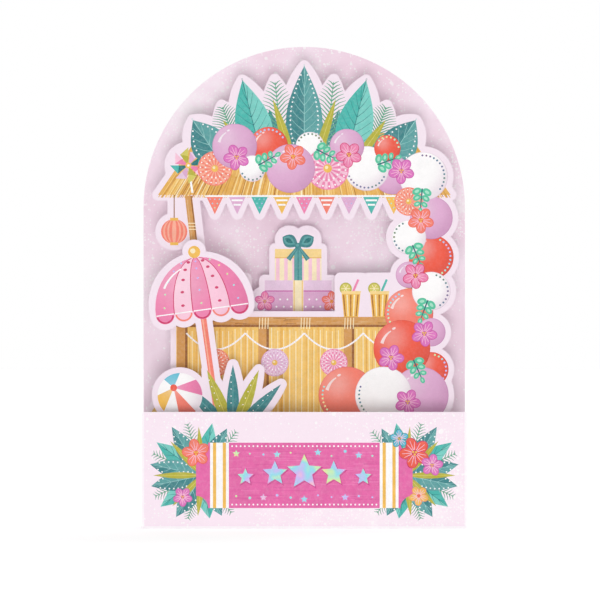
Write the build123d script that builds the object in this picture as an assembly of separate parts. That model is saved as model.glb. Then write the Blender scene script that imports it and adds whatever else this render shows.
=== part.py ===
from build123d import *
import math
import os

# A standing pop up card, opened: five sheets of card one behind the other, carried by pleated side strips.
# X runs to the right, Y to the back and Z up. All sizes are in mm.

# The card as a whole
CARD_WIDTH = 159.0
CARD_HEIGHT = 237.0
FRONT_HEIGHT = 57.0
SHEET_PITCH = 10.0
PANEL_THICKNESS = 0.45
LAYER_THICKNESS = 0.40
STRIP_THICKNESS = 0.25
GLUE_LINE = 0.03
CORNER_RADIUS = 0.8
BORDER = 2.8

# Pleated side strips and the tabs that hold the layers in them
STRIP_HEIGHT = 53.0
STRIP_INSET = 1.0
PLEAT_DEPTH = 4.0
FOLD_RADIUS = 0.4
GLUE_TAB = 9.0
LAYER_TAB = 4.6
TAB_FOOT = 6.0
TAB_RISE = 40.0
TAB_ROOT = 2.5
LAYER_MARGIN = 2.2

# Folded spacers that hold the hut layer off the back panel behind the roof
SPACER_OFFSET = 26.0
SPACER_FOOT = 169.0
SPACER_RISE = 14.0

# Hut: counter, posts and roof
COUNTER_WIDTH = 126.0
COUNTER_HEIGHT = 103.5
POST_WIDTH = 5.0
POST_SPAN_FOOT = 100.0
POST_SPAN_HEAD = 114.0
EAVE_HEIGHT = 163.5
EAVE_WIDTH = 144.0
RIDGE_HEIGHT = 194.0
RIDGE_WIDTH = 102.0

# Bunting under the eave, lantern and pinwheel at its left end
PENNANTS = 9
PENNANT_WIDTH = 8.5
PENNANT_DROP = 9.5
PENNANT_PITCH = 11.0
LANTERN_X = -64.0
LANTERN_RADIUS = 6.5
LANTERN_DROP = 18.0
LANTERN_CORD = 1.0
PINWHEEL_X = -57.0
PINWHEEL_HEIGHT = 178.0
PINWHEEL_RADIUS = 9.0

# Cups on the counter
CUP_PLACES = (-34.0, 23.0, 37.0)
CUP_WIDTH = 10.5
CUP_RISE = 19.0

# Fan of leaves over the roof, whose tips follow the arch of the back panel
FAN_LEAVES = 9
FAN_SPREAD = 52.0
FAN_FOOT = 178.0
FAN_FOOT_WIDTH = 80.0
FAN_MARGINS = (10.0, 15.0)
FAN_WIDTHS = (18.0, 13.0)
FAN_BACKING = 46.0

# Garland of balloons, along the roof and down the right side, and the larger balloons at its foot
GARLAND_START = -44.0
GARLAND_HEIGHT = 182.0
GARLAND_SIDE = 57.0
GARLAND_BEND = 24.0
GARLAND_END = 76.0
GARLAND_SWAY = 5.5
GARLAND_OVERLAP = 0.5
BALLOON_RADII = (8.5, 11.0, 6.5, 9.5, 12.0, 7.0, 10.5)
FOOT_BALLOONS = 3
FOOT_BALLOON_RADIUS = 14.0
FOOT_BALLOON_PITCH = 18.0
FOOT_BALLOON_HEIGHT = 65.0
TOP_BALLOON_RISE = 23.0

# Sand heaped at the left foot of the hut
SAND_X = -60.0
SAND_HEIGHT = 66.0
SAND_RADIUS = 17.0

# Gift layer: two stacked boxes with a bow, and a flower at each side
GIFT_X = -3.0
LOWER_GIFT_WIDTH = 33.0
LOWER_GIFT_TOP = 121.5
UPPER_GIFT_WIDTH = 23.0
UPPER_GIFT_TOP = 137.0
BOW_RADIUS = 4.4
GIFT_FLOWER_RADIUS = 4.8

# Parasol layer: a tilted parasol with a scalloped rim, a ball and grass at its foot
PARASOL_FOOT_X = -35.0
PARASOL_TILT = 8.0
PARASOL_RIM = 108.0
PARASOL_WIDTH = 46.0
PARASOL_RISE = 26.0
PARASOL_SCALLOPS = 5
PARASOL_POLE = 2.8
FINIAL_RADIUS = 3.0
BALL_X = -61.0
BALL_HEIGHT = 65.0
BALL_RADIUS = 11.0
GRASS_BLADES = 5
GRASS_SPREAD = 44.0
GRASS_FOOT = 46.0
GRASS_LENGTH = 34.0
GRASS_WIDTH = 6.0

# Places that follow from the sizes above
HALF_WIDTH = CARD_WIDTH / 2
ARCH_CENTRE = CARD_HEIGHT - HALF_WIDTH
FRONT_Y, PARASOL_Y, HUT_Y, GIFT_Y, BACK_Y = [(i - 2) * SHEET_PITCH for i in range(5)]
TO_STRIP = GLUE_LINE + STRIP_THICKNESS / 2
STRIP_FRONT_Y = FRONT_Y + PANEL_THICKNESS / 2 + TO_STRIP
STRIP_BACK_Y = BACK_Y - PANEL_THICKNESS / 2 - TO_STRIP
STRIP_HUT_Y = HUT_Y + LAYER_THICKNESS / 2 + TO_STRIP
RIDGE_X = HALF_WIDTH - STRIP_INSET
VALLEY_X = RIDGE_X - PLEAT_DEPTH


def sheet(outline, y, thickness):
    """A flat upright sheet of the given outline, with its middle at y."""
    rear = Plane((0, y + thickness / 2, 0), x_dir=(1, 0, 0), z_dir=(0, -1, 0))
    return extrude(rear * outline, amount=thickness)


def folded(points, thickness, foot, rise):
    """A sheet folded along upright creases, from the points of its middle line seen from above."""
    section = trace(FilletPolyline(*points, radius=FOLD_RADIUS), line_width=thickness)
    return extrude(Pos(0, 0, foot) * section, amount=rise)


def polygon(*points):
    return Polygon(*points, align=None)


def block(left, right, foot, top):
    return polygon((left, foot), (right, foot), (right, top), (left, top))


def disc(x, z, radius):
    return Pos(x, z) * Circle(radius)


def bordered(shape):
    """The shape with the bare border that the die leaves round a printed motif."""
    return offset(shape, amount=BORDER, kind=Kind.ARC)


def bordered_disc(x, z, radius):
    return disc(x, z, radius + BORDER)


def leaf(foot, tip, width):
    """A pointed leaf between two arcs."""
    foot, tip = Vector(*foot), Vector(*tip)
    along = tip - foot
    across = Vector(-along.Y, along.X).normalized() * (width / 2)
    middle = (foot + tip) / 2
    edges = [ThreePointArc(foot, middle + across, tip), ThreePointArc(tip, middle - across, foot)]
    return make_face(edges)


def fan_leaves():
    """Foot, tip and width of each leaf over the roof."""
    leaves = []
    for i in range(FAN_LEAVES):
        share = 2 * i / (FAN_LEAVES - 1) - 1
        angle = math.radians(FAN_SPREAD * share)
        reach = HALF_WIDTH - FAN_MARGINS[i % 2]
        tip = (reach * math.sin(angle), ARCH_CENTRE + reach * math.cos(angle))
        leaves.append(((share * FAN_FOOT_WIDTH / 2, FAN_FOOT), tip, FAN_WIDTHS[i % 2]))
    return leaves


def garland_point(length):
    """Place and outward direction at a length along the garland's line."""
    roof_run = GARLAND_SIDE - GARLAND_BEND - GARLAND_START
    bend_run = GARLAND_BEND * math.pi / 2
    centre_x = GARLAND_SIDE - GARLAND_BEND
    centre_z = GARLAND_HEIGHT - GARLAND_BEND
    if length < roof_run:
        return (GARLAND_START + length, GARLAND_HEIGHT), (0, 1)
    if length < roof_run + bend_run:
        angle = (length - roof_run) / GARLAND_BEND
        out = (math.sin(angle), math.cos(angle))
        return (centre_x + GARLAND_BEND * out[0], centre_z + GARLAND_BEND * out[1]), out
    return (GARLAND_SIDE, centre_z - (length - roof_run - bend_run)), (1, 0)


def balloons():
    """Centre and radius of each balloon, first along the garland and then at its foot."""
    placed = []
    length = 0.0
    while True:
        i = len(placed)
        radius = BALLOON_RADII[i % len(BALLOON_RADII)]
        (x, z), out = garland_point(length)
        if z < GARLAND_END:
            break
        sway = GARLAND_SWAY if i % 2 else -GARLAND_SWAY
        placed.append((x + sway * out[0], z + sway * out[1], radius))
        length += GARLAND_OVERLAP * (radius + BALLOON_RADII[(i + 1) % len(BALLOON_RADII)])
    for i in range(FOOT_BALLOONS):
        placed.append((GARLAND_SIDE - i * FOOT_BALLOON_PITCH, FOOT_BALLOON_HEIGHT, FOOT_BALLOON_RADIUS))
    top_x = GARLAND_SIDE - FOOT_BALLOON_PITCH / 2
    placed.append((top_x, FOOT_BALLOON_HEIGHT + TOP_BALLOON_RISE, FOOT_BALLOON_RADIUS))
    return placed


def pleats():
    """Outer folds of a side strip from front to back, and the inner folds between them."""
    outer = [STRIP_FRONT_Y, PARASOL_Y, HUT_Y, GIFT_Y, STRIP_BACK_Y]
    inner = [(a + b) / 2 for a, b in zip(outer, outer[1:])]
    return outer, inner


def concertina(side):
    """A pleated side strip, with a glue tab on the front panel and one on the back panel."""
    outer, inner = pleats()
    points = [(RIDGE_X - GLUE_TAB, outer[0])]
    for ridge_y, valley_y in zip(outer, inner):
        points += [(RIDGE_X, ridge_y), (VALLEY_X, valley_y)]
    points += [(RIDGE_X, outer[-1]), (RIDGE_X - GLUE_TAB, outer[-1])]
    return folded([(side * x, y) for x, y in points], STRIP_THICKNESS, 0, STRIP_HEIGHT)


def tab_line(y):
    """Fold and end of the right tab of the layer at y, which lies inside the pleat behind that layer."""
    outer, inner = pleats()
    along = Vector(VALLEY_X - RIDGE_X, inner[outer.index(y)] - y).normalized()
    inward = Vector(-along.Y, along.X)
    stand_off = STRIP_THICKNESS / 2 + GLUE_LINE + LAYER_THICKNESS / 2
    on_line = Vector(RIDGE_X, y) + inward * stand_off
    fold = on_line + along * ((y - on_line.Y) / along.Y)
    return fold, fold + along * LAYER_TAB


def layer(outline, y):
    """A die-cut layer: its foot reaches from side strip to side strip and ends in a folded tab at each side."""
    fold, end = tab_line(y)
    foot_edge = fold.X - TAB_ROOT
    widest = HALF_WIDTH - LAYER_MARGIN
    foot = block(-foot_edge, foot_edge, 0, STRIP_HEIGHT - LAYER_MARGIN)
    room = block(-foot_edge, foot_edge, 0, STRIP_HEIGHT + LAYER_MARGIN)
    room += block(-widest, widest, STRIP_HEIGHT + LAYER_MARGIN, CARD_HEIGHT)
    solid = sheet(without_pinholes((outline + foot) & room), y, LAYER_THICKNESS)
    for side in (-1, 1):
        points = [(side * foot_edge, y), (side * fold.X, y), (side * end.X, end.Y)]
        solid += folded(points, LAYER_THICKNESS, TAB_FOOT, TAB_RISE)
    return solid


def without_pinholes(outline):
    """The outline with the chinks between motifs closed and the window left open."""
    face = max(outline.faces(), key=lambda piece: piece.area)
    window = (POST_SPAN_FOOT - POST_WIDTH) * POST_WIDTH
    kept = [wire for wire in face.inner_wires() if Face(wire).area > window]
    return Sketch() + Face(face.outer_wire(), kept)


def hut_outline():
    """Roof on two posts over a counter, with bunting, cups, leaves, balloons and sand."""
    half_counter = COUNTER_WIDTH / 2
    motifs = [block(-half_counter, half_counter, 0, COUNTER_HEIGHT)]
    motifs.append(polygon((-EAVE_WIDTH / 2, EAVE_HEIGHT), (EAVE_WIDTH / 2, EAVE_HEIGHT),
                          (RIDGE_WIDTH / 2, RIDGE_HEIGHT), (-RIDGE_WIDTH / 2, RIDGE_HEIGHT)))
    for side in (-1, 1):
        foot_x = side * POST_SPAN_FOOT / 2
        head_x = side * POST_SPAN_HEAD / 2
        half = POST_WIDTH / 2
        motifs.append(polygon((foot_x - half, COUNTER_HEIGHT), (foot_x + half, COUNTER_HEIGHT),
                              (head_x + half, EAVE_HEIGHT), (head_x - half, EAVE_HEIGHT)))
    for i in range(PENNANTS):
        x = (i - (PENNANTS - 1) / 2) * PENNANT_PITCH
        motifs.append(polygon((x, EAVE_HEIGHT - PENNANT_DROP), (x + PENNANT_WIDTH / 2, EAVE_HEIGHT),
                              (x - PENNANT_WIDTH / 2, EAVE_HEIGHT)))
    for x in CUP_PLACES:
        motifs.append(block(x - CUP_WIDTH / 2, x + CUP_WIDTH / 2, COUNTER_HEIGHT, COUNTER_HEIGHT + CUP_RISE))
    lantern_z = EAVE_HEIGHT - LANTERN_DROP
    motifs.append(block(LANTERN_X - LANTERN_CORD / 2, LANTERN_X + LANTERN_CORD / 2, lantern_z, EAVE_HEIGHT))
    for foot, tip, width in fan_leaves():
        motifs.append(leaf(foot, tip, width))
    outline = Sketch() + [bordered(motif) for motif in motifs]
    discs = [(LANTERN_X, lantern_z, LANTERN_RADIUS), (PINWHEEL_X, PINWHEEL_HEIGHT, PINWHEEL_RADIUS)]
    discs.append((SAND_X, SAND_HEIGHT - SAND_RADIUS, SAND_RADIUS))
    outline += [bordered_disc(*place) for place in discs + balloons()]
    backing = disc(0, ARCH_CENTRE, FAN_BACKING) & block(-HALF_WIDTH, HALF_WIDTH, EAVE_HEIGHT, CARD_HEIGHT)
    return outline + backing


def gift_outline():
    """Two stacked boxes with a bow, on a stem that the counter hides."""
    half_lower = LOWER_GIFT_WIDTH / 2
    half_upper = UPPER_GIFT_WIDTH / 2
    outline = bordered(block(GIFT_X - half_lower, GIFT_X + half_lower, 0, LOWER_GIFT_TOP))
    outline += bordered(block(GIFT_X - half_upper, GIFT_X + half_upper, LOWER_GIFT_TOP, UPPER_GIFT_TOP))
    for side in (-1, 1):
        outline += bordered_disc(GIFT_X + side * BOW_RADIUS, UPPER_GIFT_TOP + BOW_RADIUS, BOW_RADIUS)
        flower_x = GIFT_X + side * half_lower
        outline += bordered_disc(flower_x, COUNTER_HEIGHT + BORDER + GIFT_FLOWER_RADIUS, GIFT_FLOWER_RADIUS)
    return outline


def parasol_outline():
    """A tilted parasol with a ball and grass at its foot."""
    half = PARASOL_WIDTH / 2
    rim = [(-half, PARASOL_RIM), (0, PARASOL_RIM + PARASOL_RISE), (half, PARASOL_RIM)]
    canopy = bordered(make_face([ThreePointArc(*rim), Line(rim[2], rim[0])]))
    scallop = half / PARASOL_SCALLOPS
    for i in range(PARASOL_SCALLOPS):
        canopy += bordered_disc((2 * i + 1) * scallop - half, PARASOL_RIM, scallop)
    canopy += bordered_disc(0, PARASOL_RIM + PARASOL_RISE + FINIAL_RADIUS, FINIAL_RADIUS)
    canopy += bordered(block(-PARASOL_POLE / 2, PARASOL_POLE / 2, 0, PARASOL_RIM))
    outline = Pos(PARASOL_FOOT_X, 0) * Rot(0, 0, PARASOL_TILT) * canopy
    outline += bordered_disc(BALL_X, BALL_HEIGHT, BALL_RADIUS)
    for i in range(GRASS_BLADES):
        angle = math.radians(GRASS_SPREAD * (2 * i / (GRASS_BLADES - 1) - 1))
        tip = (PARASOL_FOOT_X + GRASS_LENGTH * math.sin(angle), GRASS_FOOT + GRASS_LENGTH * math.cos(angle))
        outline += bordered(leaf((PARASOL_FOOT_X, GRASS_FOOT), tip, GRASS_WIDTH))
    return outline


def back_panel():
    """The tall panel with a round arch for its top."""
    outline = block(-HALF_WIDTH, HALF_WIDTH, 0, ARCH_CENTRE) + disc(0, ARCH_CENTRE, HALF_WIDTH)
    return sheet(outline, BACK_Y, PANEL_THICKNESS)


def front_panel():
    """The low panel across the front, with its corners just broken."""
    outline = Pos(0, FRONT_HEIGHT / 2) * RectangleRounded(CARD_WIDTH, FRONT_HEIGHT, CORNER_RADIUS)
    return sheet(outline, FRONT_Y, PANEL_THICKNESS)


def spacer(side):
    """A strip folded once between its two glue tabs, from the back panel to the rear of the hut layer."""
    crease_y = (STRIP_BACK_Y + STRIP_HUT_Y) / 2
    points = [(SPACER_OFFSET + GLUE_TAB, STRIP_HUT_Y), (SPACER_OFFSET, STRIP_HUT_Y),
              (SPACER_OFFSET - PLEAT_DEPTH, crease_y),
              (SPACER_OFFSET, STRIP_BACK_Y), (SPACER_OFFSET + GLUE_TAB, STRIP_BACK_Y)]
    return folded([(side * x, y) for x, y in points], STRIP_THICKNESS, SPACER_FOOT, SPACER_RISE)


def card():
    """Every sheet of the card by its name."""
    return {
        "back_panel": back_panel(),
        "gift_layer": layer(gift_outline(), GIFT_Y),
        "hut_layer": layer(hut_outline(), HUT_Y),
        "parasol_layer": layer(parasol_outline(), PARASOL_Y),
        "front_panel": front_panel(),
        "left_concertina": concertina(-1),
        "right_concertina": concertina(1),
        "left_spacer": spacer(-1),
        "right_spacer": spacer(1),
    }


os.makedirs("parts", exist_ok=True)
for name, solid in card().items():
    export_step(solid, f"parts/{name}.step")
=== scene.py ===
import math
import random
from collections import namedtuple

import bpy
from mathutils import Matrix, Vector
from mathutils.geometry import delaunay_2d_cdt


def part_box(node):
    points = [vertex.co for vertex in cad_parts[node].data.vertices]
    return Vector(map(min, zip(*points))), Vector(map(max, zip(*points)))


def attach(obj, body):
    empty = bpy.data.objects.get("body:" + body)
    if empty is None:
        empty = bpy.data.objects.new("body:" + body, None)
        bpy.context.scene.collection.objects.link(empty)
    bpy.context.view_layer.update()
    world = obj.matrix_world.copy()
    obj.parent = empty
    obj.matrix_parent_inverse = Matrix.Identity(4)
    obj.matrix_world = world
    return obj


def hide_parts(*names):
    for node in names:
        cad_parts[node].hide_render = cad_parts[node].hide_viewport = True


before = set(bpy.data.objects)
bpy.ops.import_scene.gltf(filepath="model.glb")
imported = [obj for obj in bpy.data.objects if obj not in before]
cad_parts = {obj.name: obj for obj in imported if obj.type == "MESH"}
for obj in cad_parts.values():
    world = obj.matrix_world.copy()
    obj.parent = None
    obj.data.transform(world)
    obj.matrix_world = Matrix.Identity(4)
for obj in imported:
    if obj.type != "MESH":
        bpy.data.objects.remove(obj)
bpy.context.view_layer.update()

# The print is laid out in mm on each sheet, x to the right and z up, and the scene is in metres.
# Angles are in degrees, unless a name says radians.
MM = 0.001

# Sizes of the motifs, as the sheets are cut for them
BORDER = 2.8
COUNTER_WIDTH = 126.0
COUNTER_HEIGHT = 103.5
POST_WIDTH = 5.0
POST_SPAN_FOOT = 100.0
POST_SPAN_HEAD = 114.0
EAVE_HEIGHT = 163.5
EAVE_WIDTH = 144.0
RIDGE_HEIGHT = 194.0
RIDGE_WIDTH = 102.0
PENNANTS = 9
PENNANT_WIDTH = 8.5
PENNANT_DROP = 9.5
PENNANT_PITCH = 11.0
LANTERN_X = -64.0
LANTERN_RADIUS = 6.5
LANTERN_DROP = 18.0
PINWHEEL_X = -57.0
PINWHEEL_HEIGHT = 178.0
PINWHEEL_RADIUS = 9.0
CUP_PLACES = (-34.0, 23.0, 37.0)
CUP_RISE = 19.0
FAN_LEAVES = 9
FAN_SPREAD = 52.0
FAN_FOOT = 178.0
FAN_FOOT_WIDTH = 80.0
FAN_MARGINS = (10.0, 15.0)
FAN_WIDTHS = (18.0, 13.0)
FAN_FILL = 51.0
GARLAND_START = -44.0
GARLAND_HEIGHT = 182.0
GARLAND_SIDE = 57.0
GARLAND_BEND = 24.0
GARLAND_END = 76.0
GARLAND_SWAY = 5.5
GARLAND_OVERLAP = 0.5
BALLOON_RADII = (8.5, 11.0, 6.5, 9.5, 12.0, 7.0, 10.5)
FOOT_BALLOONS = 3
FOOT_BALLOON_RADIUS = 14.0
FOOT_BALLOON_PITCH = 18.0
FOOT_BALLOON_HEIGHT = 65.0
TOP_BALLOON_RISE = 23.0
SAND_X = -60.0
SAND_HEIGHT = 66.0
SAND_RADIUS = 17.0
GIFT_X = -3.0
LOWER_GIFT_WIDTH = 33.0
LOWER_GIFT_TOP = 121.5
UPPER_GIFT_WIDTH = 23.0
UPPER_GIFT_TOP = 137.0
BOW_RADIUS = 4.4
GIFT_FLOWER_RADIUS = 4.8
PARASOL_FOOT_X = -35.0
PARASOL_TILT = 8.0
PARASOL_RIM = 108.0
PARASOL_WIDTH = 46.0
PARASOL_RISE = 26.0
PARASOL_SCALLOPS = 5
PARASOL_POLE = 2.8
FINIAL_RADIUS = 3.0
BALL_X = -61.0
BALL_HEIGHT = 65.0
BALL_RADIUS = 11.0
GRASS_BLADES = 5
GRASS_SPREAD = 44.0
GRASS_FOOT = 46.0
GRASS_LENGTH = 34.0
GRASS_WIDTH = 6.0

# Sizes that the frame gives
CARD_HIGH = [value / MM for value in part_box("back_panel")[1]]
HALF_WIDTH = CARD_HIGH[0]
ARCH_CENTRE = CARD_HIGH[2] - HALF_WIDTH
FRONT_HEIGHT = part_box("front_panel")[1].z / MM


def rgb(red, green, blue):
    """Linear colour of an sRGB colour given from 0 to 255."""
    def linear(value):
        value /= 255
        return value / 12.92 if value <= 0.04045 else ((value + 0.055) / 1.055) ** 2.4
    return (linear(red), linear(green), linear(blue))


# Inks
BARE_CARD = rgb(245, 229, 240)
BARE_FRONT = rgb(250, 233, 244)
BARE_EDGE = rgb(253, 246, 251)
BARE_BACK = rgb(252, 235, 246)
CLOUDED_BACK = rgb(244, 218, 232)
CARD_CORE = rgb(248, 242, 245)
WHITE = rgb(254, 253, 253)
CORAL = rgb(245, 130, 112)
CORAL_DEEP = rgb(238, 94, 74)
PEACH = rgb(250, 176, 152)
LILAC = rgb(224, 174, 210)
LILAC_PALE = rgb(236, 206, 230)
PEARL = rgb(254, 252, 252)
STRAW = rgb(230, 176, 86)
STRAW_PALE = rgb(248, 216, 146)
STRAW_DARK = rgb(176, 114, 46)
STRAW_MID = rgb(244, 200, 118)
BOARD_GOLD = rgb(247, 202, 112)
BOARD_PALE = rgb(254, 234, 184)
BOARD_SHADE = rgb(240, 186, 92)
BOARD_DARK = rgb(212, 154, 72)
WOOD = rgb(212, 154, 88)
WOOD_DARK = rgb(152, 98, 52)
WOOD_PALE = rgb(222, 178, 124)
PINK = rgb(238, 132, 176)
PINK_DEEP = rgb(208, 52, 104)
PINK_PALE = rgb(250, 200, 220)
MAGENTA = rgb(200, 82, 164)
ORCHID = rgb(222, 118, 192)
BANNER = rgb(230, 106, 170)
BANNER_DEEP = rgb(204, 76, 144)
BANNER_PALE = rgb(236, 122, 182)
BANNER_SHADE = rgb(222, 96, 162)
TEAL = rgb(62, 132, 136)
TEAL_PALE = rgb(92, 160, 160)
TEAL_VEIN = rgb(156, 208, 206)
TEAL_RIB = rgb(150, 204, 200)
TURQUOISE = rgb(76, 184, 174)
TURQUOISE_PALE = rgb(122, 206, 196)
TURQUOISE_DEEP = rgb(34, 114, 116)
OLIVE = rgb(184, 178, 62)
OLIVE_PALE = rgb(214, 204, 100)
FERN = rgb(92, 164, 132)
MINT = rgb(88, 198, 160)
MINT_PALE = rgb(168, 228, 202)
SKY = rgb(92, 190, 214)
GOLD = rgb(242, 190, 88)
CREAM = rgb(252, 236, 196)
# Silver foil tint, darkened to paint in the dark reflection that silver foil shows
SILVER_WITH_PAINTED_REFLECTION = rgb(160, 158, 168)

# Inks of a leaf's dark half, pale half and veins
TEAL_LEAF = (TEAL, TEAL_PALE, TEAL_VEIN)
RIBBED_LEAF = (TEAL, TEAL_PALE, TEAL_RIB)
TURQUOISE_LEAF = (TURQUOISE, TURQUOISE_PALE, TURQUOISE_DEEP)
DEEP_LEAF = (TURQUOISE_DEEP, TEAL, TURQUOISE)


# Outlines of printed shapes, as lists of points

def around(x, z, radius, turn):
    """The place at a distance from (x, z), in a direction anticlockwise from the right."""
    angle = math.radians(turn)
    return (x + radius * math.cos(angle), z + radius * math.sin(angle))


def direction(start, end):
    return math.degrees(math.atan2(end[1] - start[1], end[0] - start[0]))


def along_arc(x, z, radius, start, end, steps):
    """Points on an arc from the direction start to the direction end."""
    return [around(x, z, radius, start + (end - start) * i / steps) for i in range(steps + 1)]


def turned(points, x, z, turn):
    """Points turned about the origin and then moved by (x, z)."""
    cos, sin = around(0, 0, 1, turn)
    return [(x + u * cos - w * sin, z + u * sin + w * cos) for u, w in points]


def circle(x, z, radius, sides):
    return along_arc(x, z, radius, 0, 360, sides)[:-1]


def oval(x, z, half_width, half_height, turn, sides):
    return turned([(half_width * u, half_height * w) for u, w in circle(0, 0, 1, sides)], x, z, turn)


def block(left, right, foot, top):
    return [(left, foot), (right, foot), (right, top), (left, top)]


def star(x, z, radius, points=5, waist=0.46):
    """A star with one point straight up."""
    reaches = (radius, radius * waist)
    return [around(x, z, reaches[i % 2], 90 + 180 * i / points) for i in range(2 * points)]


def stroke(line, width, end_width=None):
    """A brush stroke along a line of points, of even width or tapering to end_width."""
    end_width = width if end_width is None else end_width
    left, right = [], []
    for i, (x, z) in enumerate(line):
        before, after = line[max(i - 1, 0)], line[min(i + 1, len(line) - 1)]
        run, rise = after[0] - before[0], after[1] - before[1]
        length = math.hypot(run, rise)
        half = (width + (end_width - width) * i / (len(line) - 1)) / 2
        left.append((x - rise / length * half, z + run / length * half))
        right.append((x + rise / length * half, z - run / length * half))
    return right + left[::-1]


class Axis:
    """A line from a foot to a tip. Places on it have a share of its length and a distance to its left."""

    def __init__(self, foot, tip):
        self.foot = foot
        self.length = math.hypot(tip[0] - foot[0], tip[1] - foot[1])
        self.along = ((tip[0] - foot[0]) / self.length, (tip[1] - foot[1]) / self.length)

    def at(self, share, left=0.0):
        reach = share * self.length
        return (self.foot[0] + self.along[0] * reach - self.along[1] * left,
                self.foot[1] + self.along[1] * reach + self.along[0] * left)


def leaf_half_width(share, width):
    """Half the width of a leaf at a share of its length: it is widest a little below its middle."""
    return width / 2 * math.sin(math.pi * share ** 0.86)


def leaf_edge(axis, width, side, steps):
    """One edge of a pointed leaf from foot to tip, to the left of its axis for side 1."""
    return [axis.at(i / steps, side * leaf_half_width(i / steps, width)) for i in range(steps + 1)]


def blade(foot, tip, width):
    """A pointed leaf."""
    axis = Axis(foot, tip)
    return leaf_edge(axis, width, -1, 8) + leaf_edge(axis, width, 1, 8)[-2:0:-1]


def loop_area(points):
    """Area inside a loop of points, above zero where they run anticlockwise."""
    return sum(a[0] * b[1] - b[0] * a[1] for a, b in zip(points, points[1:] + points[:1])) / 2


def anticlockwise(points):
    return points if loop_area(points) > 0 else points[::-1]


# Printing
Shape = namedtuple("Shape", "points colour ink centre radius")
INKS = ("bare", "flat", "balloon", "foil")


class Artwork:
    """The shapes printed on one sheet, in the order that they are printed, after its bare ground."""

    def __init__(self, bare):
        self.shapes = [Shape([], bare, "bare", (0.0, 0.0), 1.0)]

    def add(self, points, colour, ink="flat", centre=(0.0, 0.0), radius=1.0):
        """A field of ink. Inks that shade a form count its places from centre, in shares of radius."""
        self.shapes.append(Shape(anticlockwise(points), colour, ink, centre, radius))

    def block(self, left, right, foot, top, colour):
        self.add(block(left, right, foot, top), colour)

    def disc(self, x, z, radius, colour, sides):
        self.add(circle(x, z, radius, sides), colour)

    def line(self, points, colour, width, end_width=None):
        self.add(stroke(points, width, end_width), colour)

    def dots(self, places, radius, colour=WHITE, ink="flat"):
        for x, z in places:
            self.add(circle(x, z, radius, 8), colour, ink)


# Corners that agree to this many decimals of a mm are one, and the front is flat to FLATNESS.
DECIMALS = 4
FLATNESS = 1e-3
SHORTEST_EDGE = 2e-3

# Foot and height of the bands of the map that colours are baked through, and how edges lie in theirs
MAP_LEFT = 0.01
MAP_WIDTH = 0.98
REAR_BAND = (0.01, 0.03)
EDGE_BAND = (0.05, 0.03)
FRONT_BAND = (0.1, 0.89)
EDGE_ACROSS = 0.6
EDGE_UP = 0.37


def edge_loops(faces):
    """The closed loops of vertices round a set of faces."""
    edges = {}
    for face in faces:
        for a, b in zip(face, face[1:] + face[:1]):
            edges.setdefault(a, []).append(b)
    following = {a: b for a, ends in edges.items() for b in ends if a not in edges.get(b, [])}
    loops = []
    while following:
        start, here = following.popitem()
        loop = [start]
        while here != start:
            loop.append(here)
            here = following.pop(here)
        loops.append(loop)
    return loops


def lay_out(mesh, bare_faces):
    """The bake map: the printed front over narrow bands of the bare faces, which come first in the mesh."""
    places = [vertex.co for vertex in mesh.vertices]
    low = [min(place[axis] for place in places) for axis in range(3)]
    size = [max(place[axis] for place in places) - low[axis] for axis in range(3)]
    layer = mesh.uv_layers.new(name="OFBake")
    for face in mesh.polygons:
        for loop, corner in zip(face.loop_indices, face.vertices):
            across, back, up = [(places[corner][axis] - low[axis]) / size[axis] for axis in range(3)]
            if face.index >= bare_faces:
                place = (MAP_WIDTH * across, FRONT_BAND[0] + FRONT_BAND[1] * up)
            elif abs(face.normal.y) > 0.5:
                place = (MAP_WIDTH * across, REAR_BAND[0] + REAR_BAND[1] * up)
            else:
                place = (EDGE_ACROSS * across + EDGE_UP * up, EDGE_BAND[0] + EDGE_BAND[1] * back)
            layer.data[loop].uv = (MAP_LEFT + place[0], place[1])


def split_sheet(node):
    """A sheet's corners in mm with their numbers, the y of its front, and its faces there and elsewhere."""
    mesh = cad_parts[node].data
    numbers, merged = {}, []
    for vertex in mesh.vertices:
        place = tuple(round(value / MM, DECIMALS) for value in vertex.co)
        merged.append(numbers.setdefault(place, len(numbers)))
    places = list(numbers)
    front_y = min(place[1] for place in places)
    front, rest = [], []
    for face in mesh.polygons:
        corners = [merged[i] for i in face.vertices]
        if len(set(corners)) == len(corners):
            on_front = all(abs(places[i][1] - front_y) < FLATNESS for i in corners)
            (front if on_front else rest).append(corners)
    return numbers, front_y, front, rest


def divide_front(outline, shapes):
    """Points and triangles of a front cut along the shapes' edges, each triangle with its topmost shape."""
    outline.sort(key=lambda loop: -abs(loop_area(loop)))
    holes = len(outline) - 1
    corners, faces = [], []
    for points in [anticlockwise(loop) for loop in outline] + [shape.points for shape in shapes[1:]]:
        faces.append(list(range(len(corners), len(corners) + len(points))))
        corners += [Vector(point) for point in points]
    points, _, triangles, _, _, sources = delaunay_2d_cdt(corners, [], faces, 1, SHORTEST_EDGE, True)
    kept = []
    for triangle, covers in zip(triangles, sources):
        if 0 in covers and not any(1 <= cover <= holes for cover in covers):
            kept.append((triangle, shapes[max(max(covers) - holes, 0)]))
    return points, kept


def add_object(name, data):
    thing = bpy.data.objects.new(name, data)
    bpy.context.scene.collection.objects.link(thing)
    return thing


def number_points(points, front_y, numbers, vertices):
    """The front's points as numbers of vertices, with a new vertex for each that isn't a corner yet."""
    on_front = []
    for point in points:
        place = (round(point.x, DECIMALS), front_y, round(point.y, DECIMALS))
        if place not in numbers:
            numbers[place] = len(vertices)
            vertices.append(Vector((point.x, front_y, point.y)) * MM)
        on_front.append(numbers[place])
    return on_front


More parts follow.
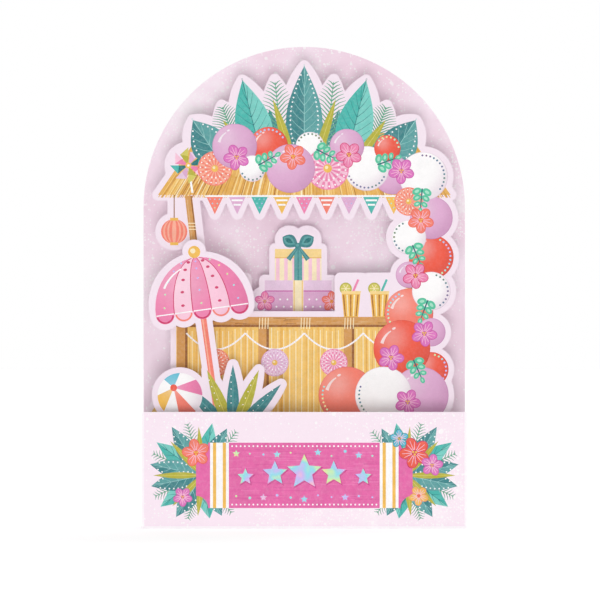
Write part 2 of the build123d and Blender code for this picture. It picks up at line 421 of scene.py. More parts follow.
def ink_mesh(mesh, slots, colours, forms, materials):
    """Gives each face its ink, and each of its corners a colour and a place on the form that is shaded."""
    ink = mesh.attributes.new("ink", "FLOAT_COLOR", "CORNER")
    ink.data.foreach_set("color", [value for colour in colours for value in (*colour, 1.0)])
    form = mesh.attributes.new("form", "FLOAT_VECTOR", "CORNER")
    form.data.foreach_set("vector", [value for place in forms for value in place])
    for name in INKS:
        mesh.materials.append(materials[name])
    mesh.polygons.foreach_set("material_index", slots)
    mesh.update()


def printed_sheet(name, node, artwork, materials):
    """The node's sheet with its front face divided along the edges of the printed shapes."""
    numbers, front_y, front, rest = split_sheet(node)
    places = list(numbers)
    vertices = [Vector(place) * MM for place in places]
    outline = [[(places[i][0], places[i][2]) for i in loop] for loop in edge_loops(front)]
    points, kept = divide_front(outline, artwork.shapes)
    on_front = number_points(points, front_y, numbers, vertices)

    faces = list(rest)
    slots = [INKS.index("flat")] * len(rest)
    colours = [CARD_CORE for face in rest for _ in face]
    forms = [(0.0, 0.0, 0.0)] * len(colours)
    for triangle, shape in kept:
        corners = [on_front[i] for i in triangle]
        if len(set(corners)) == 3:
            faces.append(corners)
            slots.append(INKS.index(shape.ink))
            colours += [shape.colour] * 3
            for i in triangle:
                across, up = (points[i] - Vector(shape.centre)) / shape.radius
                forms.append((across, up, 0.0))

    mesh = bpy.data.meshes.new(name)
    mesh.from_pydata(vertices, [], faces)
    lay_out(mesh, len(rest))
    ink_mesh(mesh, slots, colours, forms, materials)
    piece = add_object(name, mesh)
    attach(piece, "root")
    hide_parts(node)


# Leaves and flowers
LEAF_STEPS = 12
VEIN_PITCH = 4.2
FEWEST_VEINS = 5
SPRIG_LENGTH = 11.5
SPRIG_PAIRS = 3
PETALS = 5
SEED_RADIANS = (0.5, 2.6, 4.7)


def draw_leaf(art, foot, tip, width, tones, vein_width=0.28, dot=None):
    """A broad leaf in two tones, with veins and, if dot is given, dots of that radius along its margin."""
    axis = Axis(foot, tip)
    dark, pale, vein = tones
    for side, tone in ((1, dark), (-1, pale)):
        art.add(leaf_edge(axis, width, side, LEAF_STEPS) + [axis.at(0.5)], tone)
    art.line([axis.at(0.02), axis.at(0.95)], vein, vein_width * 1.7, vein_width * 0.6)
    veins = max(int(axis.length / VEIN_PITCH), FEWEST_VEINS)
    lean = 0.42 * width / axis.length
    for i in range(1, veins):
        share = i / (veins + 0.6)
        for side in (1, -1):
            end = side * leaf_half_width(min(share + lean, 0.99), width) * 0.88
            line = [axis.at(share), axis.at(share + lean * 0.42, end * 0.5), axis.at(share + lean, end)]
            art.line(line, vein, vein_width, vein_width * 0.45)
    if dot:
        for i in range(2, 2 * veins - 1):
            share = i / (2 * veins)
            margin = leaf_half_width(share, width) * 0.76
            art.dots([axis.at(share, margin), axis.at(share, -margin)], dot)


def draw_slim_leaf(art, foot, tip, width, tone=OLIVE, pale=OLIVE_PALE):
    """A slim leaf with a pale rib."""
    axis = Axis(foot, tip)
    art.add(blade(foot, tip, width), tone)
    art.line([axis.at(0.05), axis.at(0.9)], pale, width * 0.12, width * 0.04)


def draw_frond(art, foot, tip, width, leaflets, weight):
    """A palm frond: a stem with slim leaflets on both sides, which point a little towards its tip."""
    axis = Axis(foot, tip)
    art.line([axis.at(0.0), axis.at(0.97)], FERN, 0.7, 0.3)
    for i in range(leaflets):
        share = 0.08 + 0.86 * i / (leaflets - 1)
        spread = width / 2 * math.sin(math.pi * (0.2 + 0.76 * share)) + 0.4
        for side in (1, -1):
            knee = axis.at(share + spread * 0.5 / axis.length, side * spread * 0.55)
            end = axis.at(share + spread * 0.72 / axis.length, side * spread)
            art.line([axis.at(share), knee, end], FERN, weight, weight * 0.25)


def draw_sprig(art, x, z, turn):
    """A twig with round leaves in pairs and one at its tip."""
    axis = Axis((x, z), around(x, z, SPRIG_LENGTH, turn))
    art.line([axis.at(0.0), axis.at(0.95)], TURQUOISE_DEEP, 0.8, 0.5)
    for i in range(SPRIG_PAIRS):
        size = SPRIG_LENGTH * (0.21 - 0.03 * i)
        for side in (1, -1):
            place = axis.at(0.14 + 0.27 * i, side * size * 1.05)
            art.add(oval(*place, size, size * 0.72, turn + side * 60, 16), MINT)
            art.add(oval(*place, size * 0.5, size * 0.3, turn + side * 60, 12), MINT_PALE)
    tip = axis.at(0.96)
    art.add(oval(*tip, SPRIG_LENGTH * 0.14, SPRIG_LENGTH * 0.1, turn, 14), MINT)
    art.add(oval(*tip, SPRIG_LENGTH * 0.07, SPRIG_LENGTH * 0.04, turn, 10), MINT_PALE)


def draw_flower(art, x, z, radius, petal, shade, heart=GOLD, turn=18.0):
    """A flower of round petals, with fine lines on each."""
    angles = [turn + 360 / PETALS * i for i in range(PETALS)]
    for angle in angles:
        middle = around(x, z, radius * 0.56, angle)
        art.add(oval(*middle, radius * 0.5, radius * 0.4, angle, 18), shade)
        art.add(oval(*middle, radius * 0.45, radius * 0.345, angle, 18), petal)
    for angle in angles:
        for lean, reach in ((-20, 0.74), (0, 0.86), (20, 0.74)):
            line = [around(x, z, radius * share, angle + lean) for share in (0.2, reach)]
            art.line(line, PINK_PALE, 0.36, 0.2)
    art.disc(x, z, radius * 0.2, shade, 12)
    seeds = [around(x, z, radius * 0.11, math.degrees(turn)) for turn in SEED_RADIANS]
    art.dots(seeds, radius * 0.08, heart)


# Roof: rows of straw, each with the height of its head, its length and its number of strokes
THATCH_ROWS = ((RIDGE_HEIGHT, 12.0, 80), (EAVE_HEIGHT + 22.0, 14.0, 120), (EAVE_HEIGHT + 13.0, 14.0, 190))
THATCH_TONES = (STRAW_DARK, STRAW_PALE, STRAW, STRAW_MID, BOARD_DARK, STRAW, CREAM, BOARD_DARK, STRAW_MID,
                STRAW)
THATCH_REACH = 0.985
THATCH_FRINGE = 1.3


def draw_thatch(art):
    """The thatched roof: a field of straw with rows of loose strokes down to a ragged eave."""
    art.line([(0.0, EAVE_HEIGHT), (0.0, RIDGE_HEIGHT)], STRAW, EAVE_WIDTH, RIDGE_WIDTH)
    draw = random.Random(11)

    def across(share, z):
        """The place at a share of the roof's half width, at height z."""
        rise = (z - EAVE_HEIGHT) / (RIDGE_HEIGHT - EAVE_HEIGHT)
        return (share * (EAVE_WIDTH + (RIDGE_WIDTH - EAVE_WIDTH) * rise) / 2, z)

    for head, length, count in THATCH_ROWS:
        for i in range(count):
            share = THATCH_REACH * (2 * (i + draw.uniform(-0.3, 0.3)) / (count - 1) - 1)
            share = max(-THATCH_REACH, min(THATCH_REACH, share))
            top = head - draw.uniform(0.0, 5.0)
            foot = max(head - length - draw.uniform(0.0, 3.0), EAVE_HEIGHT - THATCH_FRINGE)
            line = [across(share, top), across(share + draw.uniform(-0.008, 0.008), foot)]
            widths = (draw.uniform(0.4, 0.8), draw.uniform(0.3, 0.7))
            art.line(line, draw.choice(THATCH_TONES), *widths)


# Posts and counter
POST_LASHINGS = (0.2, 0.225, 0.25, 0.72, 0.745, 0.77)
LASHING_HALF = 1.9
LASHING_WIDTH = 0.4
COUNTER_LEFT = -COUNTER_WIDTH / 2
BAR_FOOT = COUNTER_HEIGHT - 5.0
BAR_LASHINGS = (-20.0, 0.5, 22.0)
BOARDS = 40
BOARDS_FOOT = 2.0
BATTENS = (COUNTER_LEFT + 3.0, -20.0, 22.0)
BATTEN_HALF = 2.6

# Stripes on each board: distance from its left edge, width and tones
BOARD_STRIPES = ((1.9, 0.62, (BOARD_PALE, CREAM)), (0.5, 0.26, (BOARD_DARK, STRAW_PALE)))


def draw_posts(art):
    """Two wooden posts with lashings."""
    shade, light = -POST_WIDTH * 0.26, POST_WIDTH * 0.16
    for side in (-1, 1):
        head = (side * POST_SPAN_HEAD / 2, EAVE_HEIGHT - 0.5)
        axis = Axis((side * POST_SPAN_FOOT / 2, COUNTER_HEIGHT), head)
        art.line([axis.at(0), axis.at(1)], WOOD, POST_WIDTH * 0.7)
        art.line([axis.at(0, shade), axis.at(1, shade)], WOOD_DARK, 0.6)
        art.line([axis.at(0.03, light), axis.at(0.97, light)], WOOD_PALE, 0.4)
        for share in POST_LASHINGS:
            lashing = [axis.at(share, -LASHING_HALF), axis.at(share + 0.008, LASHING_HALF)]
            art.line(lashing, CREAM, LASHING_WIDTH)


def draw_boards(art, draw):
    """The counter's upright boards, with stripes of uneven length."""
    art.block(COUNTER_LEFT, GARLAND_SIDE, BOARDS_FOOT, BAR_FOOT, BOARD_GOLD)
    for i in range(BOARDS):
        x = COUNTER_LEFT + (GARLAND_SIDE - COUNTER_LEFT) * i / BOARDS
        tone = draw.choice((STRAW_MID, BOARD_SHADE, BOARD_GOLD))
        art.block(x + 0.1, x + draw.uniform(1.0, 1.7), BOARDS_FOOT + 0.4, BAR_FOOT - 0.1, tone)
        for shift, width, tones in BOARD_STRIPES:
            foot = draw.uniform(3.0, 26.0)
            top = BAR_FOOT - draw.uniform(0.1, 2.0)
            line = [(x + shift, foot), (x + shift + draw.uniform(-0.25, 0.25), (foot + top) / 2),
                    (x + shift + draw.uniform(-0.15, 0.15), top)]
            foot_width = width * draw.uniform(0.7, 1.1)
            art.line(line, draw.choice(tones), foot_width, width * 0.7)


def draw_battens(art, draw):
    """Battens over the boards, each with a shaded side and a pale grain."""
    for x in BATTENS:
        art.block(x - BATTEN_HALF, x + BATTEN_HALF, BOARDS_FOOT, BAR_FOOT, WOOD)
        art.block(x + 1.4, x + BATTEN_HALF, BOARDS_FOOT, BAR_FOOT, WOOD_DARK)
        for k in range(5):
            grain_x = x - 2.2 + 0.8 * k
            foot = draw.uniform(4.0, 60.0)
            line = [(grain_x, foot), (grain_x + 0.1, foot + draw.uniform(18.0, 36.0))]
            art.line(line, WOOD_PALE, 0.24, 0.12)


def draw_bar(art, draw):
    """The bar on top of the counter, with grain along it and lashings over it."""
    art.block(COUNTER_LEFT, GARLAND_SIDE, BAR_FOOT, COUNTER_HEIGHT, WOOD)
    art.block(COUNTER_LEFT, GARLAND_SIDE, BAR_FOOT, BAR_FOOT + 1.1, WOOD_DARK)
    for _ in range(34):
        x = draw.uniform(COUNTER_LEFT + 2.0, GARLAND_SIDE - 10.0)
        z = BAR_FOOT + draw.uniform(1.4, 4.5)
        line = [(x, z), (x + draw.uniform(4, 10), z + draw.uniform(-0.15, 0.15))]
        art.line(line, draw.choice((WOOD_PALE, WOOD_PALE, WOOD_DARK)), 0.3, 0.12)
    for middle in BAR_LASHINGS:
        for k in range(4):
            x = middle - 2.1 + 1.4 * k
            art.line([(x, BAR_FOOT - 0.9), (x + 0.2, COUNTER_HEIGHT - 0.4)], CREAM, LASHING_WIDTH)


def draw_counter(art):
    """The counter: a bar over upright boards, with battens and lashings."""
    draw = random.Random(5)
    draw_boards(art, draw)
    draw_battens(art, draw)
    draw_bar(art, draw)


# Rosettes of pleated paper, on a cord that hangs in as many bows as there are rosettes
CORD_START = -58.0
CORD_BOW = 29.0
CORD_HEIGHT = 95.5
CORD_SAG = 8.0
CORD_STEPS = 24
ROSETTE_HEIGHT = 81.0
ROSETTE_RADIUS = 6.8
ROSETTE_TONES = ((CORAL, PEACH), (LILAC, LILAC_PALE), (PINK, PINK_PALE), (TURQUOISE, TURQUOISE_PALE))


def draw_rosette(art, x, z, radius, dark, pale):
    """A rosette of pleated paper, with a smaller one on it and a button in the middle."""
    for reach, pleats, under, over in ((radius, 18, dark, pale), (radius * 0.64, 14, pale, dark)):
        art.disc(x, z, reach, under, 36)
        turn = 360 / pleats
        for k in range(pleats):
            art.add([(x, z)] + along_arc(x, z, reach * 0.95, k * turn, (k + 0.5) * turn, 2), over)
        between = along_arc(x, z, reach * 0.84, turn * 0.75, turn * (pleats - 0.25), pleats - 1)
        art.dots(between, radius * 0.045)
    art.disc(x, z, radius * 0.2, GOLD, 16)
    art.disc(x - radius * 0.05, z + radius * 0.05, radius * 0.08, CREAM, 10)


def draw_rosettes(art):
    """Paper rosettes hung on a sagging, twisted cord along the counter."""
    shares = [i / CORD_STEPS for i in range(CORD_STEPS + 1)]
    for k in range(len(ROSETTE_TONES)):
        start = CORD_START + CORD_BOW * k
        cord = [(start + CORD_BOW * s, CORD_HEIGHT - 4 * CORD_SAG * s * (1 - s)) for s in shares]
        art.line(cord, WHITE, 0.8)
        for (a, b), (c, d) in zip(cord, cord[1:]):
            x, z = (a + c) / 2, (b + d) / 2
            art.line([(x - 0.22, z - 0.3), (x + 0.22, z + 0.3)], LILAC_PALE, 0.2)
    for k, tones in enumerate(ROSETTE_TONES):
        draw_rosette(art, CORD_START + CORD_BOW * (k + 0.5), ROSETTE_HEIGHT, ROSETTE_RADIUS, *tones)


# Sand, bunting, cups, lantern and pinwheel
GRAINS_OF_SAND = 60
PENNANT_TONES = (CORAL, LILAC, TURQUOISE, GOLD, PINK)
PENNANT_TOP = EAVE_HEIGHT - 0.6
DOT_ROWS = ((6.3, (0.0,)), (4.2, (-1.2, 1.2)), (2.1, (-2.3, 0.0, 2.3)))
CUP_RIM = COUNTER_HEIGHT + 12.5
CUP_WIDTHS = (7.0, 9.4)
LIP_WIDTHS = (9.2, 9.8)
CUP_STRAWS = (SKY, PINK, TURQUOISE)
FRUIT_RADIUS = 3.0
LANTERN_RIBS = ((1.0, CORAL), (0.84, PEACH), (0.7, CORAL), (0.52, PEACH), (0.38, CORAL), (0.16, PEACH))
PINWHEEL_TONES = ((TURQUOISE, TURQUOISE_DEEP), (LILAC_PALE, LILAC), (OLIVE_PALE, OLIVE), (PINK_PALE, PINK))


def draw_sand(art):
    """A heap of sand with grains, down to where the front panel hides it."""
    centre = SAND_HEIGHT - SAND_RADIUS
    low = math.degrees(math.asin((FRONT_HEIGHT - 1.0 - centre) / SAND_RADIUS))
    art.add(along_arc(SAND_X, centre, SAND_RADIUS, low, 180 - low, 20), STRAW_MID)
    draw = random.Random(8)
    for _ in range(GRAINS_OF_SAND):
        turn = draw.uniform(low + 6, 174 - low)
        place = around(SAND_X, centre, SAND_RADIUS * draw.uniform(0.6, 0.96), turn)
        if place[1] > FRONT_HEIGHT:
            art.disc(*place, draw.uniform(0.15, 0.3), draw.choice((STRAW_DARK, CREAM, STRAW)), 6)


def draw_bunting(art):
    """Pennants on a string under the eave, by turns with foil dots and with stripes."""
    half = PENNANT_WIDTH / 2
    for i in range(PENNANTS):
        x = (i - (PENNANTS - 1) / 2) * PENNANT_PITCH
        pennant = [(x, EAVE_HEIGHT - PENNANT_DROP), (x + half, PENNANT_TOP), (x - half, PENNANT_TOP)]
        art.add(pennant, PENNANT_TONES[i % len(PENNANT_TONES)])
        if i % 2:
            for drop in (2.2, 4.4):
                reach = half * (1 - drop / PENNANT_DROP) - 0.5
                art.block(x - reach, x + reach, EAVE_HEIGHT - drop - 0.9, EAVE_HEIGHT - drop, WHITE)
        else:
            for drop, shifts in DOT_ROWS:
                art.dots([(x + shift, EAVE_HEIGHT - drop) for shift in shifts], 0.36, WHITE, "foil")
    span = PENNANT_PITCH * (PENNANTS - 1) / 2 + half + 0.6
    art.block(-span, span, EAVE_HEIGHT - 1.0, EAVE_HEIGHT - 0.2, WHITE)


def draw_cups(art):
    """Striped tumblers, each with a straw and a slice of fruit."""
    foot = COUNTER_HEIGHT
    for x, straw in zip(CUP_PLACES, CUP_STRAWS):
        art.line([(x + 0.6, CUP_RIM - 1.0), (x + 3.6, COUNTER_HEIGHT + CUP_RISE - 0.6)], straw, 1.1)
        fruit = (x - 2.6, CUP_RIM + 1.4)
        art.disc(*fruit, FRUIT_RADIUS, OLIVE, 20)
        art.disc(*fruit, FRUIT_RADIUS - 0.6, OLIVE_PALE, 20)
        for k in range(6):
            art.line([fruit, around(*fruit, FRUIT_RADIUS - 0.8, 60 * k)], CREAM, 0.3)
        art.line([(x, foot), (x, CUP_RIM)], GOLD, *CUP_WIDTHS)
        for k in range(5):
            low, high = x - 3.0 + 1.3 * k, x - 4.1 + 1.8 * k
            stripe = [(low, foot + 0.3), (low + 0.55, foot + 0.3),
                      (high + 0.75, CUP_RIM - 1.6), (high, CUP_RIM - 1.6)]
            art.add(stripe, (STRAW_DARK, CREAM)[k % 2])
        art.line([(x, CUP_RIM - 1.3), (x, CUP_RIM + 0.2)], STRAW_PALE, *LIP_WIDTHS)


def draw_lantern(art):
    """A round paper lantern on a cord."""
    z = EAVE_HEIGHT - LANTERN_DROP
    art.line([(LANTERN_X, EAVE_HEIGHT), (LANTERN_X, z + LANTERN_RADIUS)], WOOD_DARK, 0.5)
    for share, tone in LANTERN_RIBS:
        art.add(oval(LANTERN_X, z, LANTERN_RADIUS * share, LANTERN_RADIUS * 0.94, 0, 28), tone)
    for end in (-1, 1):
        cap = z + end * LANTERN_RADIUS * 0.93
        art.block(LANTERN_X - 2.0, LANTERN_X + 2.0, cap - 0.7, cap + 0.7, GOLD)


def draw_pinwheel(art):
    """A pinwheel of eight folded blades on a stick."""
    hub = (PINWHEEL_X, PINWHEEL_HEIGHT)
    art.line([hub, (PINWHEEL_X + 2.0, EAVE_HEIGHT + 1.0)], WHITE, 1.0)
    for i in range(8):
        pale, dark = PINWHEEL_TONES[i % len(PINWHEEL_TONES)]
        turn = 45 * i
        fold = around(*hub, PINWHEEL_RADIUS * 0.74, turn + 38)
        art.add([hub, around(*hub, PINWHEEL_RADIUS, turn), fold], pale)
        art.add([hub, around(*hub, PINWHEEL_RADIUS / 2, turn), fold], dark)
    art.disc(*hub, 1.5, GOLD, 16)
    art.disc(*hub, 0.6, WHITE, 10)


# Fan of leaves over the roof
FILL_WIDTH = 10.0
SLIM_WIDTH = 4.4


def fan_axis(share, reach):
    """Foot and tip of a leaf of the fan, from share -1 at its left end to 1 at its right."""
    return (share * FAN_FOOT_WIDTH / 2, FAN_FOOT), around(0.0, ARCH_CENTRE, reach, 90 - FAN_SPREAD * share)


def draw_fan(art):
    """Broad leaves by turns with fronds, narrower leaves behind them and slim leaves in front."""
    gaps = FAN_LEAVES - 1
    for i in range(gaps):
        foot, tip = fan_axis((2 * i + 1) / gaps - 1, FAN_FILL)
        if i % 2:
            draw_leaf(art, foot, tip, FILL_WIDTH, TEAL_LEAF, dot=0.36)
        else:
            draw_leaf(art, foot, tip, FILL_WIDTH, DEEP_LEAF)
    leaves = [fan_axis(2 * i / gaps - 1, HALF_WIDTH - FAN_MARGINS[i % 2]) for i in range(FAN_LEAVES)]
    for foot, tip in leaves[1::2]:
        draw_frond(art, foot, tip, FAN_WIDTHS[1] * 1.25, 19, 0.7)
    for i, (foot, tip) in enumerate(leaves[::2]):
        if i % 2:
            draw_leaf(art, foot, tip, FAN_WIDTHS[0], TURQUOISE_LEAF)
        else:
            draw_leaf(art, foot, tip, FAN_WIDTHS[0], RIBBED_LEAF, dot=0.42)
    for foot, tip in leaves[1::2]:
        axis = Axis(foot, tip)
        side = 1 if foot[0] > 0 else -1
        draw_slim_leaf(art, axis.at(0.0, side * 5.0), axis.at(0.78, -side * 2.0), SLIM_WIDTH)


# Garland of balloons and rosettes: tones along its line and at its foot, and the places of the rosettes
BALLOON_TONES = (CORAL, LILAC, PEARL, CORAL_DEEP, LILAC, PEARL)
FOOT_TONES = (LILAC, PEARL, CORAL, CORAL_DEEP)
PLEATED = {0: (CORAL, PEACH), 6: (PINK, PINK_PALE), 12: (CORAL, PEACH)}
GARLAND_PETALS = ((ORCHID, MAGENTA), (CORAL, CORAL_DEEP), (PINK, PINK_DEEP))
GARLAND_FLOWER_RADIUS = 6.2
SPRIG_TURN = 25.0
FLOWER_TURN = math.degrees(0.5)
DOTTED_ARC = 130.0
FOOT_DOTS_FROM = 160.0
BALLOON_RIM = 0.3
RIM_TINT = (0.86, 0.76, 0.84)


def garland_place(length, sway):
    """The place at a length along the garland's line, moved outward by sway."""
    x, z = GARLAND_SIDE - GARLAND_BEND, GARLAND_HEIGHT - GARLAND_BEND
    past_roof = length - (x - GARLAND_START)
    bend = math.degrees(past_roof / GARLAND_BEND)
    if bend < 0:
        return (x + past_roof, GARLAND_HEIGHT + sway)
    if bend < 90:
        return around(x, z, GARLAND_BEND + sway, 90 - bend)
    return (GARLAND_SIDE + sway, z - past_roof + GARLAND_BEND * math.pi / 2)


def balloons():
    """Centre and radius of each balloon, first along the garland and then at its foot."""
    placed = []
    length = 0.0
    while True:
        i = len(placed)
        radius, next_radius = [BALLOON_RADII[k % len(BALLOON_RADII)] for k in (i, i + 1)]
        x, z = garland_place(length, GARLAND_SWAY if i % 2 else -GARLAND_SWAY)
        if z < GARLAND_END:
            break
        placed.append((x, z, radius))
        length += GARLAND_OVERLAP * (radius + next_radius)
    for i in range(FOOT_BALLOONS):
        placed.append((GARLAND_SIDE - i * FOOT_BALLOON_PITCH, FOOT_BALLOON_HEIGHT, FOOT_BALLOON_RADIUS))
    top_x = GARLAND_SIDE - FOOT_BALLOON_PITCH / 2
    placed.append((top_x, FOOT_BALLOON_HEIGHT + TOP_BALLOON_RISE, FOOT_BALLOON_RADIUS))
    return placed


def draw_balloon(art, x, z, radius, tone, dots_from=None):
    """A round balloon with a bright mark and, if dots_from is given, foil dots along part of its rim."""
    rim = tuple(value * share for value, share in zip(tone, RIM_TINT))
    for reach, colour in ((radius, rim), (radius - BALLOON_RIM, tone)):
        art.add(circle(x, z, reach, 40), colour, "balloon", (x, z), radius)
    gleam = tuple(0.3 * value + 0.7 for value in tone)
    art.line(along_arc(x, z, radius * 0.72, 122, 166, 6), gleam, radius * 0.04, radius * 0.12)
    art.add(oval(x - radius * 0.28, z + radius * 0.7, radius * 0.07, radius * 0.04, 25, 10), gleam)
    if dots_from is not None:
        count = max(int(radius * 1.05), 6)
        dotted = along_arc(x, z, radius * 0.86, dots_from, dots_from + DOTTED_ARC, count)
        # Dots on pearl balloons are silver foil with a painted dark reflection.
        art.dots(dotted, 0.52, SILVER_WITH_PAINTED_REFLECTION if tone == PEARL else WHITE, "foil")


def exposed_side(placed, i):
    """The direction in which a balloon stands out from its neighbours along the garland."""
    before, after = placed[max(i - 1, 0)], placed[i + 1]
    return direction(((before[0] + after[0]) / 2, (before[1] + after[1]) / 2), placed[i])


def draw_garland(art):
    """The balloons and pleated rosettes, with flowers and sprigs among them."""
    placed = balloons()
    foot = len(placed) - len(FOOT_TONES)
    order = sorted(range(foot), key=lambda i: ((i * 7) % 5, i))
    for i in order + [foot + 3, foot, foot + 2, foot + 1]:
        tone = BALLOON_TONES[i % len(BALLOON_TONES)] if i < foot else FOOT_TONES[i - foot]
        if i in PLEATED:
            draw_rosette(art, *placed[i], *PLEATED[i])
        elif i % 3 == 1:
            draw_balloon(art, *placed[i], tone)
        else:
            dots_from = exposed_side(placed, i) - DOTTED_ARC / 2 if i < foot else FOOT_DOTS_FROM
            draw_balloon(art, *placed[i], tone, dots_from)
    for count, i in enumerate(range(2, foot - 1, 3)):
        x, z, radius = placed[i]
        turn = direction(placed[i], placed[i + 1]) + (SPRIG_TURN if count % 2 else -SPRIG_TURN)
        draw_sprig(art, *around(x, z, radius * 0.5, turn), turn)
    for count, i in enumerate(range(1, len(placed), 3)):
        x, z, radius = placed[i]
        petals = GARLAND_PETALS[count % len(GARLAND_PETALS) if i < foot else 0]
        after = placed[min(i + 1, foot - 1)] if i < foot else placed[foot + 1]
        turn = direction(placed[i], after) + (FLOWER_TURN if count % 2 else -FLOWER_TURN)
        place = around(x, z, radius * 0.5, turn)
        draw_flower(art, *place, GARLAND_FLOWER_RADIUS, *petals, turn=18 + 25 * i)


def hut_artwork():
    art = Artwork(BARE_CARD)
    draw_thatch(art)
    draw_posts(art)
    draw_counter(art)
    draw_rosettes(art)
    draw_sand(art)
    draw_bunting(art)
    draw_cups(art)
    draw_lantern(art)
    draw_pinwheel(art)
    draw_fan(art)
    draw_garland(art)
    return art


# Gift layer: the lower gift goes on down behind the counter
GIFT_FOOT = COUNTER_HEIGHT - 12.0
LOWER_LID = LOWER_GIFT_TOP - 5.0
LOWER_LEFT = GIFT_X - LOWER_GIFT_WIDTH / 2
UPPER_LID = UPPER_GIFT_TOP - 4.2
UPPER_LEFT = GIFT_X - UPPER_GIFT_WIDTH / 2
WRAP_DOT_PITCH = 3.6
WRAP_STRIPE_PITCH = 4.0
WRAP_STRIPE_WIDTH = 1.7
RIBBON_WIDTHS = (5.2, 4.0)
KNOT = (GIFT_X, UPPER_GIFT_TOP + 1.4)
GIFT_FLOWER_HEIGHT = COUNTER_HEIGHT + BORDER + GIFT_FLOWER_RADIUS
GIFT_PETALS = {-1: (PINK, MAGENTA), 1: (CORAL, CORAL_DEEP)}


def gift_band(art, width, foot, top, tone, shift=0.0):
    """A field of one width about the middle of the gifts."""
    art.block(GIFT_X + shift - width / 2, GIFT_X + shift + width / 2, foot, top, tone)


def draw_lower_gift(art):
    """A gift in dotted wrapping, with a lid and a ribbon."""
    gift_band(art, LOWER_GIFT_WIDTH, GIFT_FOOT, LOWER_GIFT_TOP, LILAC)
    for row in range(6):
        for column in range(9):
            x = LOWER_LEFT + 2.2 + WRAP_DOT_PITCH * (column + row % 2 / 2)
            if x < LOWER_LEFT + LOWER_GIFT_WIDTH - 0.8:
                art.disc(x, GIFT_FOOT + 2.6 + WRAP_DOT_PITCH * row, 0.5, WHITE, 8)
    gift_band(art, LOWER_GIFT_WIDTH, LOWER_LID, LOWER_GIFT_TOP, LILAC_PALE)
    gift_band(art, LOWER_GIFT_WIDTH, LOWER_LID - 0.5, LOWER_LID, MAGENTA)
    gift_band(art, RIBBON_WIDTHS[0], GIFT_FOOT, LOWER_GIFT_TOP, CREAM)
    for shift in (-2.0, 2.0):
        gift_band(art, 0.4, GIFT_FOOT, LOWER_GIFT_TOP, GOLD, shift)


def draw_upper_gift(art):
    """A smaller gift in striped wrapping, with a lid and a ribbon."""
    gift_band(art, UPPER_GIFT_WIDTH, LOWER_GIFT_TOP, UPPER_GIFT_TOP, CREAM)
    for i in range(6):
        x = UPPER_LEFT + 0.6 + WRAP_STRIPE_PITCH * i
        art.block(x, x + WRAP_STRIPE_WIDTH, LOWER_GIFT_TOP, UPPER_GIFT_TOP, PINK_PALE)
    gift_band(art, UPPER_GIFT_WIDTH, UPPER_LID, UPPER_GIFT_TOP, STRAW_PALE)
    gift_band(art, UPPER_GIFT_WIDTH, UPPER_LID - 0.4, UPPER_LID, STRAW)
    gift_band(art, RIBBON_WIDTHS[1], LOWER_GIFT_TOP, UPPER_GIFT_TOP, TEAL_PALE)
    gift_band(art, 0.6, LOWER_GIFT_TOP, UPPER_GIFT_TOP, TEAL)


def draw_bow_half(art, side):
    """A tail and a loop of the bow, to the right of its knot for side 1."""
    tip = (GIFT_X + side * BOW_RADIUS * 1.75, UPPER_GIFT_TOP + BOW_RADIUS * 1.35)
    tail = (GIFT_X + side * BOW_RADIUS * 1.1, UPPER_GIFT_TOP - BOW_RADIUS * 1.2)
    loop = Axis(KNOT, tip)
    art.line([KNOT, tail], TEAL, 1.0, 2.4)
    art.line([KNOT, tail], TEAL_PALE, 0.3, 0.9)
    art.add(blade(tip, KNOT, BOW_RADIUS * 1.5), TEAL)
    art.add(blade(loop.at(0.94), loop.at(0.2), BOW_RADIUS * 0.95), TEAL_PALE)
    art.add(blade(loop.at(0.84), loop.at(0.34), BOW_RADIUS * 0.5), TURQUOISE_DEEP)


def gift_artwork():
    """Two wrapped gifts with a bow, and a flower at each side."""
    art = Artwork(BARE_CARD)
    draw_lower_gift(art)
    draw_upper_gift(art)
    for side, petals in GIFT_PETALS.items():
        draw_bow_half(art, side)
        flower_x = GIFT_X + side * LOWER_GIFT_WIDTH / 2
        draw_flower(art, flower_x, GIFT_FLOWER_HEIGHT, GIFT_FLOWER_RADIUS, *petals)
    art.disc(*KNOT, 1.6, TEAL, 16)
    art.disc(KNOT[0] - 0.4, KNOT[1] + 0.4, 0.7, TEAL_PALE, 12)
    return art


# Parasol layer
POLE_FOOT = 3.0
PARASOL_HALF = PARASOL_WIDTH / 2
PARASOL_APEX = PARASOL_RIM + PARASOL_RISE
SCALLOP_RADIUS = PARASOL_HALF / PARASOL_SCALLOPS
RIB_STEPS = 12
CANOPY_MIDDLE = PARASOL_RIM + 4.0
CANOPY_RADIUS = 27.0
BALL_TONES = (PINK, PEARL, SKY, PEARL, GOLD, PEARL, CORAL, PEARL)


def tilted(points):
    """Points of an upright parasol, as they stand when it leans."""
    return turned(points, PARASOL_FOOT_X, 0.0, PARASOL_TILT)


def parasol_rib(x):
    """The line of a rib from the apex to the place x on the rim."""
    turns = [math.radians(90 * i / RIB_STEPS) for i in range(RIB_STEPS + 1)]
    return [(x * math.sin(turn), PARASOL_RIM + PARASOL_RISE * math.cos(turn)) for turn in turns]


def seam(i):
    """The place on the rim where gore i begins."""
    return -PARASOL_HALF + 2 * i * SCALLOP_RADIUS


